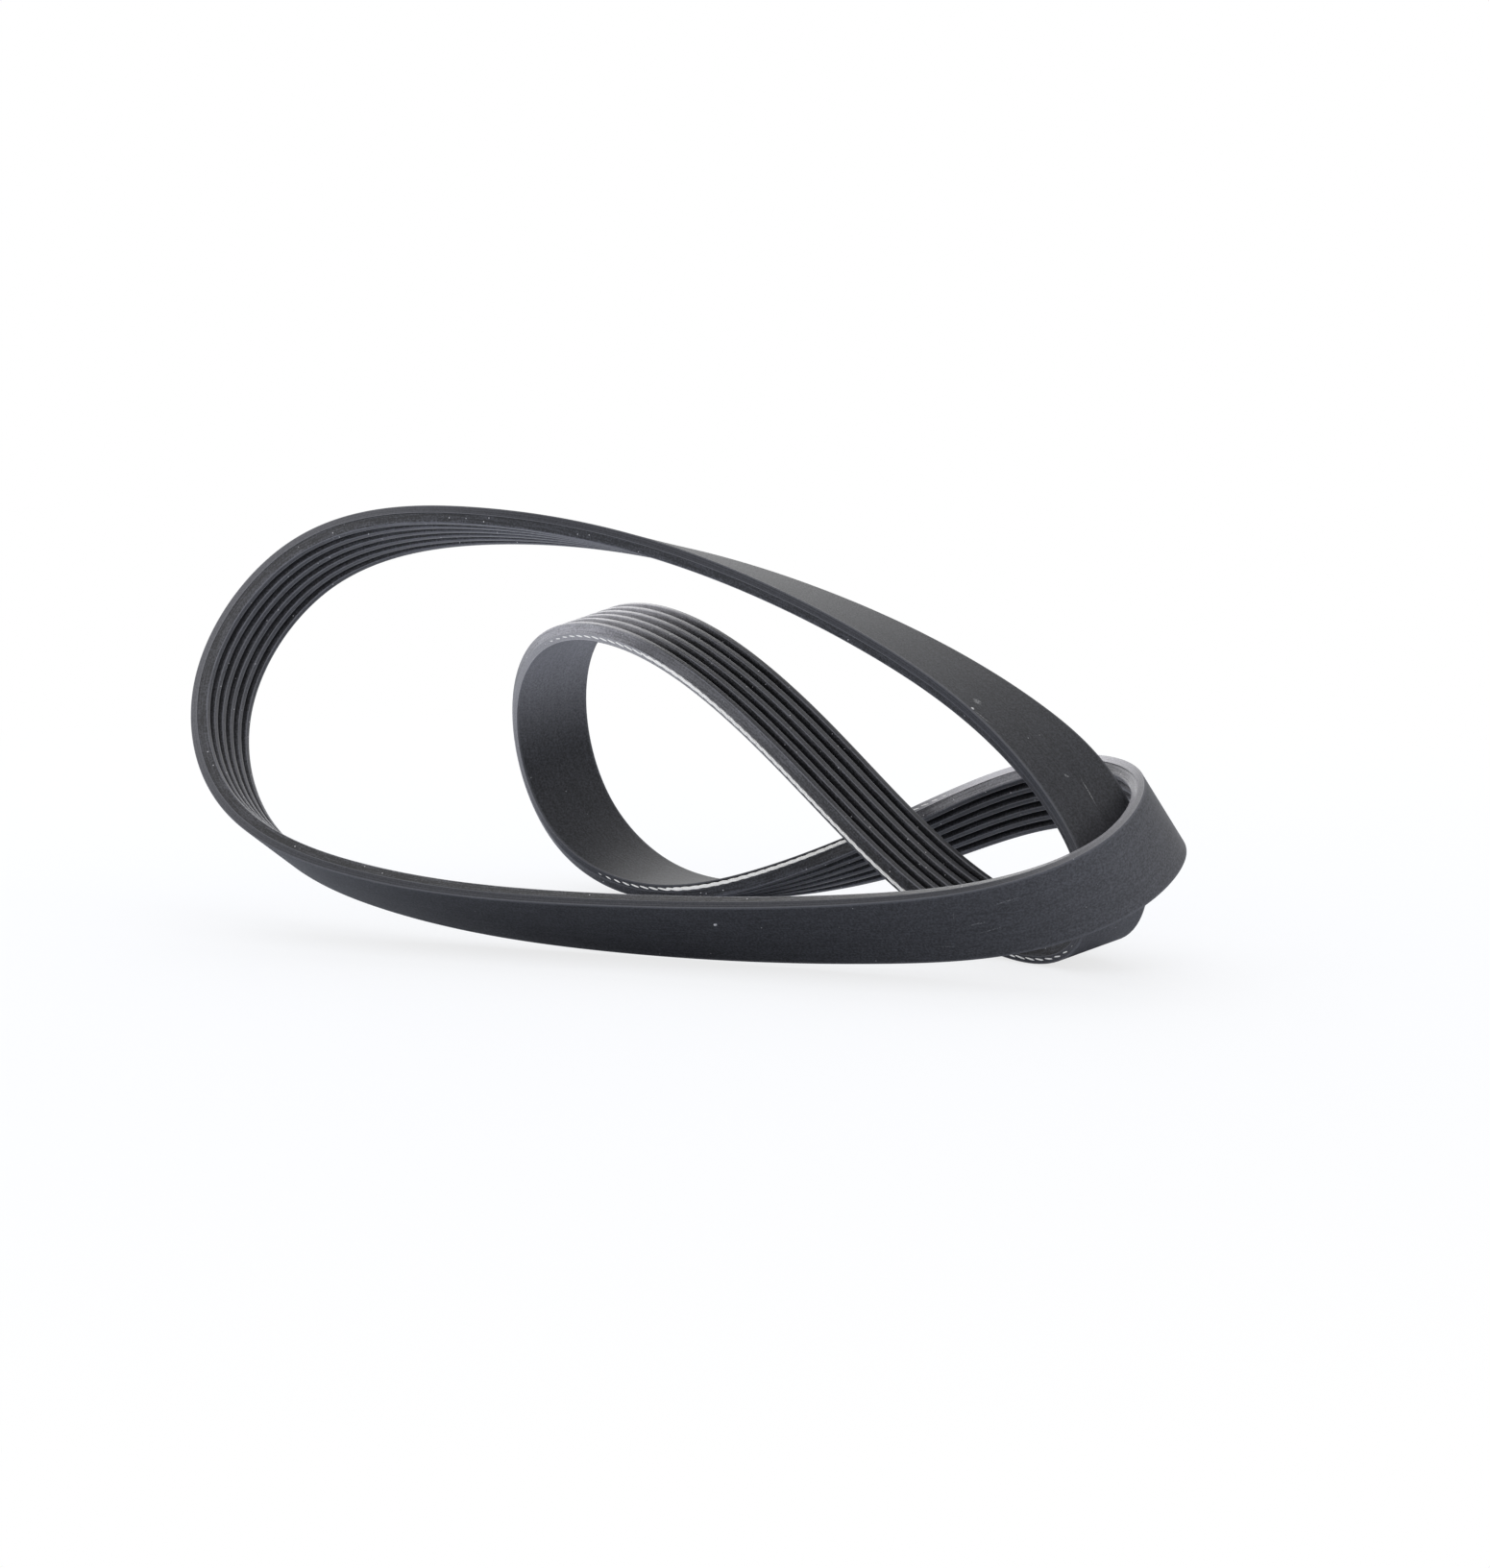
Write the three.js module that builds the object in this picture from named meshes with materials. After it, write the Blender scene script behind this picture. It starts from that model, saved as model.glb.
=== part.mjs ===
// Serpentine belt: one closed rubber loop with lengthwise V ribs on one face and a smooth back
// on the other. It has been put down loose, so the loop is folded over itself and stands on
// three low bends. Millimetres, +Z up, with the origin on the surface that it lies on, below
// the middle of its box.
import * as THREE from "three";

// Length round the smooth back. A belt of another length lies in the same fold, let out or
// drawn in, with the same section.
const BELT_LENGTH = 1066;

// Section across the belt: a flat band with standard ribs on it
const RIB_COUNT = 6;
const RIB_PITCH = 3.56;
const RIB_HEIGHT = 2.4;
const RIB_FLANK_DEGREES = 20;
const RIB_TIP_ROUNDING = 0.35;
const GROOVE_FLOOR = 0.4;
const BAND_THICKNESS = 1.95;

// Tensile cord that the trimming knife laid open in the near edge of the band
const CORD_DIAMETER = 0.9;
const CORD_TO_BACK = 1.15;
const CORD_CLEARANCE = 0.2;

// Fineness of the faces
const DEGREES_PER_STEP = 10;
const LONGEST_STEP = 12;
const SPAN_SAMPLES = 16;
const TIP_STEPS = 1;
const CORD_STEPS = 4;
const SLOPE_SWEEPS = 60;

// Guides along the loop, in travelling order. "at" is the middle of the smooth back, and
// "across" runs from the near edge of the belt to its far edge, in any length.
const GUIDES = [
  // Big loop: round its left end and over its crest
  { name: "left_end", at: [-117, 35, 55], across: [9, 14.5, -10] },
  { name: "upper_left", at: [-95.5, 46, 87.5], across: [7.5, 15.5, -10.5] },
  { name: "crest", at: [-46.5, 32, 100], across: [7, 17, -6.5] },
  { name: "top_strip", at: [30.5, -9, 86], across: [10, 17, -1.5] },
  { name: "top_strip_low", at: [56, -26, 75], across: [11, 17, 0.5] },
  { name: "top_strip_end", at: [82, -44, 58.5], across: [13, 15, 3] },
  // Low turn at the right: under itself, touching the surface
  { name: "low_turn_in", at: [98.5, -55, 40], across: [14, 13, 5] },
  { name: "low_turn_side", at: [105, -57, 21.5], across: [14.5, 14, 2.5] },
  { name: "low_turn_bottom", at: [101, -49, 5], across: [14, 14, 2] },
  { name: "low_turn_floor", at: [86, -34, 3], across: [14, 14, 4] },
  { name: "low_turn_out", at: [66, -20, 13], across: [13, 15, 5.5] },
  // Small loop behind: up, over its top, down its left side and along the surface
  { name: "rising_strip", at: [29, 3, 47], across: [14, 14, 5] },
  { name: "small_top", at: [-10, 32, 71], across: [14, 14, 4.5] },
  { name: "small_top_left", at: [-27, 52, 66.5], across: [15, 13, 3.5] },
  { name: "small_left", at: [-33.5, 67, 46.5], across: [16.5, 10.5, 3.5] },
  { name: "small_low", at: [-26, 67, 19.5], across: [15, 12.5, 5] },
  { name: "small_floor", at: [-8.5, 54, 6.5], across: [12, 16, 1.5] },
  // Back strip: rising to the right and turning onto its edge
  { name: "back_strip", at: [25.5, 31, 9], across: [11, 16, -5] },
  { name: "back_strip_mid", at: [59, 12, 22], across: [12, 13, -10.5] },
  { name: "back_strip_end", at: [86, -4, 34.5], across: [12, 10, -13.5] },
  // Right turn, round to the front
  { name: "right_turn_in", at: [109.5, -29, 39.5], across: [10.5, 5, -15.5] },
  { name: "right_turn", at: [116, -54, 35.5], across: [10, 5, -17] },
  { name: "right_turn_out", at: [106.5, -69, 26.5], across: [7.5, 7, -17] },
  // Front strip: along the surface on its far edge, back to the left end
  { name: "front_strip", at: [87.5, -74, 18], across: [6, 9, -17] },
  { name: "front_strip_low", at: [48.5, -65, 10.5], across: [5.5, 11.5, -15.5] },
  { name: "front_strip_mid", at: [-15, -42, 7.5], across: [6, 14, -13.5] },
  { name: "front_strip_left", at: [-77, -13, 12], across: [6.5, 16, -10.5] },
  { name: "left_low", at: [-110.5, 14, 27.5], across: [8.5, 15, -9.5] },
];

// Stretches of the near edge where the cord lies open, from guide to guide
const OPEN_STRETCHES = [
  { name: "cord_on_rising_strip", from: "low_turn_bottom", to: "small_top_left" },
  { name: "cord_on_back_strip", from: "small_floor", to: "right_turn_in" },
];

const BELT_WIDTH = RIB_COUNT * RIB_PITCH;
const BELT_THICKNESS = BAND_THICKNESS + RIB_HEIGHT;
const GUIDE_COUNT = GUIDES.length;

const rubber = new THREE.MeshStandardMaterial({ color: 0x3b3c40, roughness: 0.75, metalness: 0 });
const cordYarn = new THREE.MeshStandardMaterial({ color: 0xe6e4df, roughness: 0.9, metalness: 0 });

// The loop is a closed chain of cubics through the guides. Each slope is the one that makes
// the bend run on evenly from span to span; repeated sweeps round the loop settle them all.
function settleSlopes(points, spans) {
  const slopes = points.map(() => new THREE.Vector3());
  for (let sweep = 0; sweep < SLOPE_SWEEPS; sweep += 1) {
    points.forEach((point, i) => {
      const before = (i + GUIDE_COUNT - 1) % GUIDE_COUNT;
      const after = (i + 1) % GUIDE_COUNT;
      const spanIn = spans[before];
      const spanOut = spans[i];
      const arriving = point.clone().sub(points[before]).multiplyScalar(spanOut / spanIn);
      const leaving = points[after].clone().sub(point).multiplyScalar(spanIn / spanOut);
      slopes[i] = arriving.add(leaving).multiplyScalar(3)
        .addScaledVector(slopes[before], -spanOut)
        .addScaledVector(slopes[after], -spanIn)
        .divideScalar(2 * (spanIn + spanOut));
    });
  }
  return slopes;
}

const makeChain = (points, spans) => ({ points, spans, slopes: settleSlopes(points, spans) });

function spansBetween(points) {
  return points.map((point, i) => point.distanceTo(points[(i + 1) % GUIDE_COUNT]));
}

// A place on one cubic of a chain: the weights of its two end points and two end slopes
function onSpan({ points, spans, slopes }, i, share) {
  const after = (i + 1) % GUIDE_COUNT;
  const square = share * share;
  const cube = square * share;
  return new THREE.Vector3()
    .addScaledVector(points[i], 2 * cube - 3 * square + 1)
    .addScaledVector(slopes[i], (cube - 2 * square + share) * spans[i])
    .addScaledVector(points[after], 3 * square - 2 * cube)
    .addScaledVector(slopes[after], (cube - square) * spans[i]);
}

// The direction of travel at the same place
function travelOnSpan({ points, spans, slopes }, i, share) {
  const after = (i + 1) % GUIDE_COUNT;
  const square = share * share;
  const rise = 6 * (share - square);
  return points[after].clone().sub(points[i]).multiplyScalar(rise)
    .addScaledVector(slopes[i], (3 * square - 4 * share + 1) * spans[i])
    .addScaledVector(slopes[after], (3 * square - 2 * share) * spans[i])
    .normalize();
}

// Length of a whole chain, added up over short samples
function lengthOfChain(chain) {
  let length = 0;
  for (let i = 0; i < GUIDE_COUNT; i += 1) {
    for (let sample = 0; sample < SPAN_SAMPLES; sample += 1) {
      const start = onSpan(chain, i, sample / SPAN_SAMPLES);
      length += start.distanceTo(onSpan(chain, i, (sample + 1) / SPAN_SAMPLES));
    }
  }
  return length;
}

// The fold as drawn is let out or drawn in until the belt in it has its length
const drawnCentres = GUIDES.map((guide) => new THREE.Vector3(...guide.at));
const drawnLength = lengthOfChain(makeChain(drawnCentres, spansBetween(drawnCentres)));
const fold = BELT_LENGTH / drawnLength;
const centres = drawnCentres.map((point) => point.clone().multiplyScalar(fold));
const widthways = GUIDES.map((guide) => new THREE.Vector3(...guide.across).normalize());
const backLine = makeChain(centres, spansBetween(centres));
const widthLine = makeChain(widthways, backLine.spans);

// A station is a place on the loop with the belt's own directions: across its width, and
// inward from the smooth back to the rib tips
function stationOnSpan(i, share) {
  const travel = travelOnSpan(backLine, i, share);
  const across = onSpan(widthLine, i, share);
  across.addScaledVector(travel, -across.dot(travel)).normalize();
  const inward = across.clone().cross(travel);
  return { span: i, centre: onSpan(backLine, i, share), across, inward };
}

// How far a span turns, added up over short samples
function turnOfSpan(i) {
  let turn = 0;
  for (let sample = 0; sample < SPAN_SAMPLES; sample += 1) {
    const start = travelOnSpan(backLine, i, sample / SPAN_SAMPLES);
    turn += start.angleTo(travelOnSpan(backLine, i, (sample + 1) / SPAN_SAMPLES));
  }
  return THREE.MathUtils.radToDeg(turn);
}

// Stations stand close together in the bends and further apart on the straight strips
const stations = GUIDES.flatMap((guide, i) => {
  const stepsForLength = backLine.spans[i] / LONGEST_STEP;
  const steps = Math.ceil(Math.max(turnOfSpan(i) / DEGREES_PER_STEP, stepsForLength));
  return Array.from({ length: steps }, (_, step) => stationOnSpan(i, step / steps));
});

const spanOfGuide = (name) => GUIDES.findIndex((guide) => guide.name === name);

function stationsAlong(stretch) {
  const first = spanOfGuide(stretch.from);
  const last = spanOfGuide(stretch.to);
  return stations.filter((station) => station.span >= first && station.span < last);
}

// Half a round bar sunk into the near edge: the cord as the knife left it, or its bed
function halfRound(radius) {
  const points = [];
  for (let step = 0; step <= CORD_STEPS; step += 1) {
    const angle = (Math.PI * step) / CORD_STEPS;
    const depth = radius * Math.sin(angle);
    const height = CORD_TO_BACK + radius * Math.cos(angle);
    points.push(new THREE.Vector2(depth - BELT_WIDTH / 2, height));
  }
  return points;
}

// One rib, from its right root over the rounded tip to its left root
function ribOutline(middle) {
  const rootHalf = (RIB_PITCH - GROOVE_FLOOR) / 2;
  const lean = Math.tan(THREE.MathUtils.degToRad(RIB_FLANK_DEGREES));
  const tipHalf = rootHalf - RIB_HEIGHT * lean;
  const flank = new THREE.Vector2(lean, -1).normalize().multiplyScalar(RIB_TIP_ROUNDING);
  const corner = new THREE.Vector2(tipHalf, BELT_THICKNESS);
  const onFlank = corner.clone().add(flank);
  const onTip = corner.clone().sub(new THREE.Vector2(RIB_TIP_ROUNDING, 0));
  const rounding = new THREE.QuadraticBezierCurve(onFlank, corner, onTip).getPoints(TIP_STEPS);
  const rightHalf = [new THREE.Vector2(rootHalf, BAND_THICKNESS), ...rounding];
  const leftHalf = rightHalf.map((point) => new THREE.Vector2(-point.x, point.y)).reverse();
  return [...rightHalf, ...leftHalf].map((point) => point.add(new THREE.Vector2(middle, 0)));
}

// The whole outline, anticlockwise from the near corner of the smooth back. The cord's bed
// is cut in only where the cord lies open, and is flush with the edge elsewhere.
function beltOutline(bedIsOpen) {
  const half = BELT_WIDTH / 2;
  const ribs = [];
  for (let rib = RIB_COUNT - 1; rib >= 0; rib -= 1) {
    ribs.push(...ribOutline((rib + 0.5) * RIB_PITCH - half));
  }
  const bed = halfRound(CORD_DIAMETER / 2 + CORD_CLEARANCE);
  bed.forEach((point) => point.setX(bedIsOpen ? point.x : -half));
  return [
    new THREE.Vector2(-half, 0),
    new THREE.Vector2(half, 0),
    new THREE.Vector2(half, BAND_THICKNESS),
    ...ribs,
    new THREE.Vector2(-half, BAND_THICKNESS),
    ...bed,
  ];
}

function placeOutline(outline, station) {
  return outline.map((point) => station.centre.clone()
    .addScaledVector(station.across, point.x)
    .addScaledVector(station.inward, point.y));
}

// Skin over a row of outlines with equal numbers of points. A ring joins its last outline to
// its first; an open row is closed by a flat face at each end.
function loft(outlines, isRing) {
  const points = outlines.flat();
  const size = outlines[0].length;
  const bays = isRing ? outlines.length : outlines.length - 1;
  const faces = [];
  for (let bay = 0; bay < bays; bay += 1) {
    const here = bay * size;
    const next = ((bay + 1) % outlines.length) * size;
    for (let i = 0; i < size; i += 1) {
      const j = (i + 1) % size;
      faces.push(here + i, next + i, next + j, here + i, next + j, here + j);
    }
  }
  if (!isRing) {
    const end = points.length - size;
    for (let i = 1; i < size - 1; i += 1) {
      faces.push(0, i, i + 1, end, end + i + 1, end + i);
    }
  }
  const geometry = new THREE.BufferGeometry().setFromPoints(points);
  geometry.setIndex(faces);
  geometry.computeVertexNormals();
  return geometry;
}

function makeBelt() {
  const openStations = new Set(OPEN_STRETCHES.flatMap(stationsAlong));
  const rings = stations.map((station) => (
    placeOutline(beltOutline(openStations.has(station)), station)));
  const belt = new THREE.Mesh(loft(rings, true), rubber);
  belt.name = "ribbed_belt";
  return belt;
}

function makeCord(stretch) {
  const outline = halfRound(CORD_DIAMETER / 2).reverse();
  const rows = stationsAlong(stretch).map((station) => placeOutline(outline, station));
  const cord = new THREE.Mesh(loft(rows, false), cordYarn);
  cord.name = stretch.name;
  return cord;
}

const belt = makeBelt();
const serpentineBelt = new THREE.Group();
serpentineBelt.add(belt, ...OPEN_STRETCHES.map(makeCord));

// Stand the lowest point on the surface, with the origin below the middle of the box
belt.geometry.computeBoundingBox();
const box = belt.geometry.boundingBox;
const middle = box.getCenter(new THREE.Vector3());
serpentineBelt.position.set(-middle.x, -middle.y, -box.min.z);

export default serpentineBelt;
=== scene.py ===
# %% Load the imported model
import math

import bpy
import numpy as np
from mathutils import Matrix, Vector


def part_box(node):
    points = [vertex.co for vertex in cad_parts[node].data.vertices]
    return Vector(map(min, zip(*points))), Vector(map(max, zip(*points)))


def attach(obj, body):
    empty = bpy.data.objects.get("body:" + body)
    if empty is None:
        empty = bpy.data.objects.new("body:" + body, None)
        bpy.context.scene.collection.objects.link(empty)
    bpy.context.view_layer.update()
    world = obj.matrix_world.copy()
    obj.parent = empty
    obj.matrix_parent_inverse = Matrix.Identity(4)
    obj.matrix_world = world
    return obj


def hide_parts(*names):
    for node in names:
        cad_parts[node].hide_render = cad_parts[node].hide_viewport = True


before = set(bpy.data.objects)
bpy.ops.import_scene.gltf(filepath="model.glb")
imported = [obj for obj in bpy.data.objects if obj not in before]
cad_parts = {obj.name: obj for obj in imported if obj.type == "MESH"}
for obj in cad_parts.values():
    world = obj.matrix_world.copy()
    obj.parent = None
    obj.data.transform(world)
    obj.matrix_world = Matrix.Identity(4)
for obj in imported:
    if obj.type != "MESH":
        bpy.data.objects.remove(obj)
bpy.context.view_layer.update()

# %% [markdown]
# # A serpentine belt that lies loose
#
# The belt is one closed loop of black rubber with six V ribs along its inner face and a smooth
# back. It drives the alternator, pump and compressor at the front of an engine. Here it is off
# the engine, so it springs into a folded loop that stands on three low bends. In two places the
# trimming knife has laid a turn of its white tensile cord open in the near edge.
#
# The lesson goes from the camera to the belt's line and section, then to its three rubbers, the
# belt itself and its cord, and last to the floor and the lamps.

# %% [markdown]
# ## Camera
#
# The belt was photographed from about a metre away with a long lens, pitched a little down. A
# long lens keeps the near and far sides of the loop at nearly the same scale, so lens and
# distance are set together. The target is a point a little above the surface, near the middle
# of the belt.

# %% Camera
def add_object(name, data):
    """An object of its own in the scene, for a mesh, a lamp or a camera."""
    thing = bpy.data.objects.new(name, data)
    bpy.context.scene.collection.objects.link(thing)
    return thing


MM = 0.001
CAMERA_DISTANCE = 1000 * MM
CAMERA_PITCH = math.radians(8)
CAMERA_LENS_MM = 98.45
CAMERA_TARGET = (17.6 * MM, -59.6 * MM, 45.1 * MM)

camera_data = bpy.data.cameras.new("camera")
camera_data.lens = CAMERA_LENS_MM
camera = add_object("camera", camera_data)
camera.location = (
    CAMERA_TARGET[0],
    CAMERA_TARGET[1] - CAMERA_DISTANCE * math.cos(CAMERA_PITCH),
    CAMERA_TARGET[2] + CAMERA_DISTANCE * math.sin(CAMERA_PITCH),
)
camera.rotation_euler = (math.radians(90) - CAMERA_PITCH, 0, 0)
bpy.context.scene.camera = camera
bpy.context.scene.view_settings.view_transform = "Standard"
print("camera at", [round(number, 3) for number in camera.location])

# %% [markdown]
# ## The line that the belt follows
#
# A real belt bends easily one way, resists the other, and never stretches. What describes it is
# a closed line along the middle of its smooth back, with a direction across its width at each
# place. Both are given here by a few guides, in millimetres and in travelling order. The line
# between them is a chain of cubics whose bend runs on evenly from span to span, which is how a
# springy strip lies. Drawing the line in Blender's curve editor would work too, but handles
# only give an even bend by luck.

# %% Guides: name, middle of the smooth back, direction from the near edge to the far edge
GUIDES = [
    ("left_end", (-117, 35, 55), (9, 14.5, -10)),
    ("upper_left", (-95.5, 46, 87.5), (7.5, 15.5, -10.5)),
    ("crest", (-46.5, 32, 100), (7, 17, -6.5)),
    ("top_strip", (30.5, -9, 86), (10, 17, -1.5)),
    ("top_strip_low", (56, -26, 75), (11, 17, 0.5)),
    ("top_strip_end", (82, -44, 58.5), (13, 15, 3)),
    ("low_turn_in", (98.5, -55, 40), (14, 13, 5)),
    ("low_turn_side", (105, -57, 21.5), (14.5, 14, 2.5)),
    ("low_turn_bottom", (101, -49, 5), (14, 14, 2)),
    ("low_turn_floor", (86, -34, 3), (14, 14, 4)),
    ("low_turn_out", (66, -20, 13), (13, 15, 5.5)),
    ("rising_strip", (29, 3, 47), (14, 14, 5)),
    ("small_top", (-10, 32, 71), (14, 14, 4.5)),
    ("small_top_left", (-27, 52, 66.5), (15, 13, 3.5)),
    ("small_left", (-33.5, 67, 46.5), (16.5, 10.5, 3.5)),
    ("small_low", (-26, 67, 19.5), (15, 12.5, 5)),
    ("small_floor", (-8.5, 54, 6.5), (12, 16, 1.5)),
    ("back_strip", (25.5, 31, 9), (11, 16, -5)),
    ("back_strip_mid", (59, 12, 22), (12, 13, -10.5)),
    ("back_strip_end", (86, -4, 34.5), (12, 10, -13.5)),
    ("right_turn_in", (109.5, -29, 39.5), (10.5, 5, -15.5)),
    ("right_turn", (116, -54, 35.5), (10, 5, -17)),
    ("right_turn_out", (106.5, -69, 26.5), (7.5, 7, -17)),
    ("front_strip", (87.5, -74, 18), (6, 9, -17)),
    ("front_strip_low", (48.5, -65, 10.5), (5.5, 11.5, -15.5)),
    ("front_strip_mid", (-15, -42, 7.5), (6, 14, -13.5)),
    ("front_strip_left", (-77, -13, 12), (6.5, 16, -10.5)),
    ("left_low", (-110.5, 14, 27.5), (8.5, 15, -9.5)),
]


def unit(vectors):
    return vectors / np.linalg.norm(vectors, axis=1)[:, None]


guide_names = [name for name, _, _ in GUIDES]
centres = np.array([at for _, at, _ in GUIDES], float) * MM
widthways = unit(np.array([across for _, _, across in GUIDES], float))
spans = np.linalg.norm(np.roll(centres, -1, axis=0) - centres, axis=1)
shortest, longest = (spans.min() / MM).round(), (spans.max() / MM).round()
print(len(GUIDES), "guides, spans of", shortest, "to", longest, "mm")


# %% Slopes that carry the bend evenly over each guide
def settle_slopes(points):
    """The slope at each point of a closed chain of cubics with no jump in its bend."""
    count = len(points)
    before = np.roll(spans, 1)
    leaving = (np.roll(points, -1, axis=0) - points) / spans[:, None]
    arriving = np.roll(leaving, 1, axis=0)
    here = np.arange(count)
    weights = np.zeros((count, count))
    weights[here, here - 1] = spans
    weights[here, here] = 2 * (spans + before)
    weights[here, (here + 1) % count] = before
    return np.linalg.solve(weights, 3 * (spans[:, None] * arriving + before[:, None] * leaving))


centre_slopes = settle_slopes(centres)
width_slopes = settle_slopes(widthways)
print("steepest slope", np.linalg.norm(centre_slopes, axis=1).max().round(3))


# %% A place on the loop, from its place in the list of guides
def on_chain(points, slopes, place):
    """Points on the chain of cubics: place 2.5 is half-way between guides 2 and 3."""
    start = np.floor(place).astype(int) % len(points)
    after = (start + 1) % len(points)
    share = (place % 1)[:, None]
    reach = spans[start][:, None]
    rise = share * share * (3 - 2 * share)
    return (
        points[start] * (1 - rise)
        + points[after] * rise
        + slopes[start] * reach * share * (1 - share) ** 2
        - slopes[after] * reach * share * share * (1 - share)
    )


FINE_STEPS = 200
fine_places = np.arange(len(GUIDES) * FINE_STEPS + 1) / FINE_STEPS
fine_points = on_chain(centres, centre_slopes, fine_places)
fine_lengths = np.append(0, np.cumsum(np.linalg.norm(np.diff(fine_points, axis=0), axis=1)))
belt_length = fine_lengths[-1]
print("length round the smooth back", (belt_length / MM).round(1), "mm")


# %% Stations: even steps along the belt, each with the belt's own three directions
def stations_at(lengths):
    """Centre, travel, across and inward at these lengths along the smooth back."""
    place = np.interp(lengths % belt_length, fine_lengths, fine_places)
    step = 1 / FINE_STEPS
    centre = on_chain(centres, centre_slopes, place)
    ahead = on_chain(centres, centre_slopes, place + step)
    behind = on_chain(centres, centre_slopes, place - step)
    travel = unit(ahead - behind)
    across = on_chain(widthways, width_slopes, place)
    across = unit(across - (across * travel).sum(axis=1)[:, None] * travel)
    return {"centre": centre, "across": across, "inward": np.cross(across, travel)}


def length_at(guide):
    return fine_lengths[guide_names.index(guide) * FINE_STEPS]


STATION_STEP = 1.6 * MM
station_count = round(belt_length / STATION_STEP)
station_lengths = np.arange(station_count) * belt_length / station_count
stations = stations_at(station_lengths)
print(station_count, "stations", (belt_length / station_count / MM).round(2), "mm apart")

# %% [markdown]
# ## The section across the belt
#
# Belts of this kind have a standard section: ribs 3.56 mm apart, with 40 degrees between their
# flanks, on a flat band that holds the cord. Six ribs make it 21.36 mm wide. The rib tips are
# ground and rounded, the groove floors are round too, and the edges are cut square by a knife.

# %% Sizes of the section
RIB_COUNT = 6
RIB_PITCH = 3.56 * MM
RIB_HEIGHT = 2.4 * MM
RIB_FLANK = math.radians(20)
RIB_TIP_RADIUS = 0.5 * MM
GROOVE_FLOOR = 0.4 * MM
GROOVE_RADIUS = 0.25 * MM
BAND_THICKNESS = 1.95 * MM
EDGE_RADIUS = 0.15 * MM
CORD_DIAMETER = 0.9 * MM
CORD_TO_BACK = 1.15 * MM
CORD_CLEARANCE = 0.2 * MM
BELT_WIDTH = RIB_COUNT * RIB_PITCH
print("belt", round(BELT_WIDTH / MM, 2), "by", round((BAND_THICKNESS + RIB_HEIGHT) / MM, 2), "mm")

# %% [markdown]
# ## Where the cord lies open
#
# The cord is one yarn, wound round the belt many times inside the band. The knife that slits
# the sleeve into belts runs straight, and the cord runs a little askew, so here and there the
# knife lays one turn open. Towards the ends of such a stretch only the crowns of the twisted
# yarn break through, which show as a row of dashes. One number from 0 to 1 says how far the
# cord is open at a place. Up to about a half it only lifts the yarn towards the cut, and past
# that it opens the bed in the edge too.

# %% How far the cord is open, along the belt
OPEN_STRETCHES = {
    "cord_on_rising_strip": {
        "node_ends": ("low_turn_bottom", "small_top_left"),
        "starts": -4 * MM,
        "opens_over": 44 * MM,
        "closes_over": 60 * MM,
        "stops": -2 * MM,
    },
    "cord_on_back_strip": {
        "node_ends": ("small_floor", "right_turn_in"),
        "starts": -8 * MM,
        "opens_over": 36 * MM,
        "closes_over": 34 * MM,
        "stops": -50 * MM,
    },
}
BED_OPENS_AT = 0.6


def openness(lengths, stretch):
    """0 outside a stretch, rising to 1 over the lengths that it opens and closes over."""
    first, last = stretch["node_ends"]
    rise = (lengths - length_at(first) - stretch["starts"]) / stretch["opens_over"]
    fall = (length_at(last) + stretch["stops"] - lengths) / stretch["closes_over"]
    return np.clip(np.minimum(rise, fall), 0, 1)


station_open = np.zeros(station_count)
for stretch in OPEN_STRETCHES.values():
    bed = np.interp(openness(station_lengths, stretch), [BED_OPENS_AT, 1], [0, 1])
    station_open = np.maximum(station_open, bed)
print("bed open on", (station_open > 0).mean().round(2), "of the belt's length")

# %% [markdown]
# ## Pale haze: bloomed wax and painted sheen
#
# Wax in the rubber creeps out over the years and dries as a pale haze, mostly where the belt
# is bent hard. Here the pale haze is partly such wax and partly painted sheen and highlight,
# where light grazes the rubber. It can't be left to chance here, so each hazy stretch is
# listed: the guide that it lies near, how far beyond it, how far it reaches to both sides, and
# how strong it is on ribs, edges and back.

# %% How strong the haze is along the belt: bloomed wax and painted sheen
# guide, mm beyond it, reach in mm, strength on ribs, edges and back
BLOOMS_AND_SHEEN = [
    ("small_top", -20, 84, (0, 0.42, 0)),
    ("small_top_left", -12, 36, (0.9, 0.14, 0)),
    ("small_top_left", 4, 36, (0, 0.08, 0.72)),
    ("small_left", 0, 40, (0.05, 0.26, 0)),
    ("back_strip_end", 10, 56, (0, 1.15, 0)),
    ("right_turn", 6, 56, (0.5, 0.2, 0.16)),
    ("front_strip", 8, 60, (0, 0, 0.05)),
    ("low_turn_bottom", -14, 34, (0, 0.08, 0.18)),
    ("left_end", 16, 100, (0.03, 0.13, 0)),
]

station_bloom_and_sheen = np.zeros((station_count, 3))
for guide, beyond, reach, strengths in BLOOMS_AND_SHEEN:
    off = np.abs(station_lengths - length_at(guide) - beyond * MM)
    off = np.minimum(off, belt_length - off) / (reach * MM)
    station_bloom_and_sheen += np.clip(1 - off**2, 0, 1)[:, None] ** 2 * strengths
print("strongest haze", station_bloom_and_sheen.max(axis=0).round(2))

# %% [markdown]
# ## Small helpers
#
# One function adds a node to any tree, sets its properties, and feeds its inputs. Another makes a
# line of points with named attributes, which the node trees read. A third turns what a tree makes
# into a plain mesh, so that nothing is left to evaluate later. The two kinds of node that come up
# most have a short name.

# %% One function for every node
MATH = "ShaderNodeMath"
VECTOR_MATH = "ShaderNodeVectorMath"


def feed(node, inputs):
    """Feeds inputs, each given by its name, or by its number where several share a name.

    A value is either a number, a colour and so on, or the output of a node, which is linked.
    """
    for name, value in inputs.items():
        sockets = {socket.name: socket for socket in reversed(node.inputs) if socket.enabled}
        socket = node.inputs[name] if isinstance(name, int) else sockets[name]
        if isinstance(value, bpy.types.NodeSocket):
            node.id_data.links.new(value, socket)
        else:
            socket.default_value = value


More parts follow.
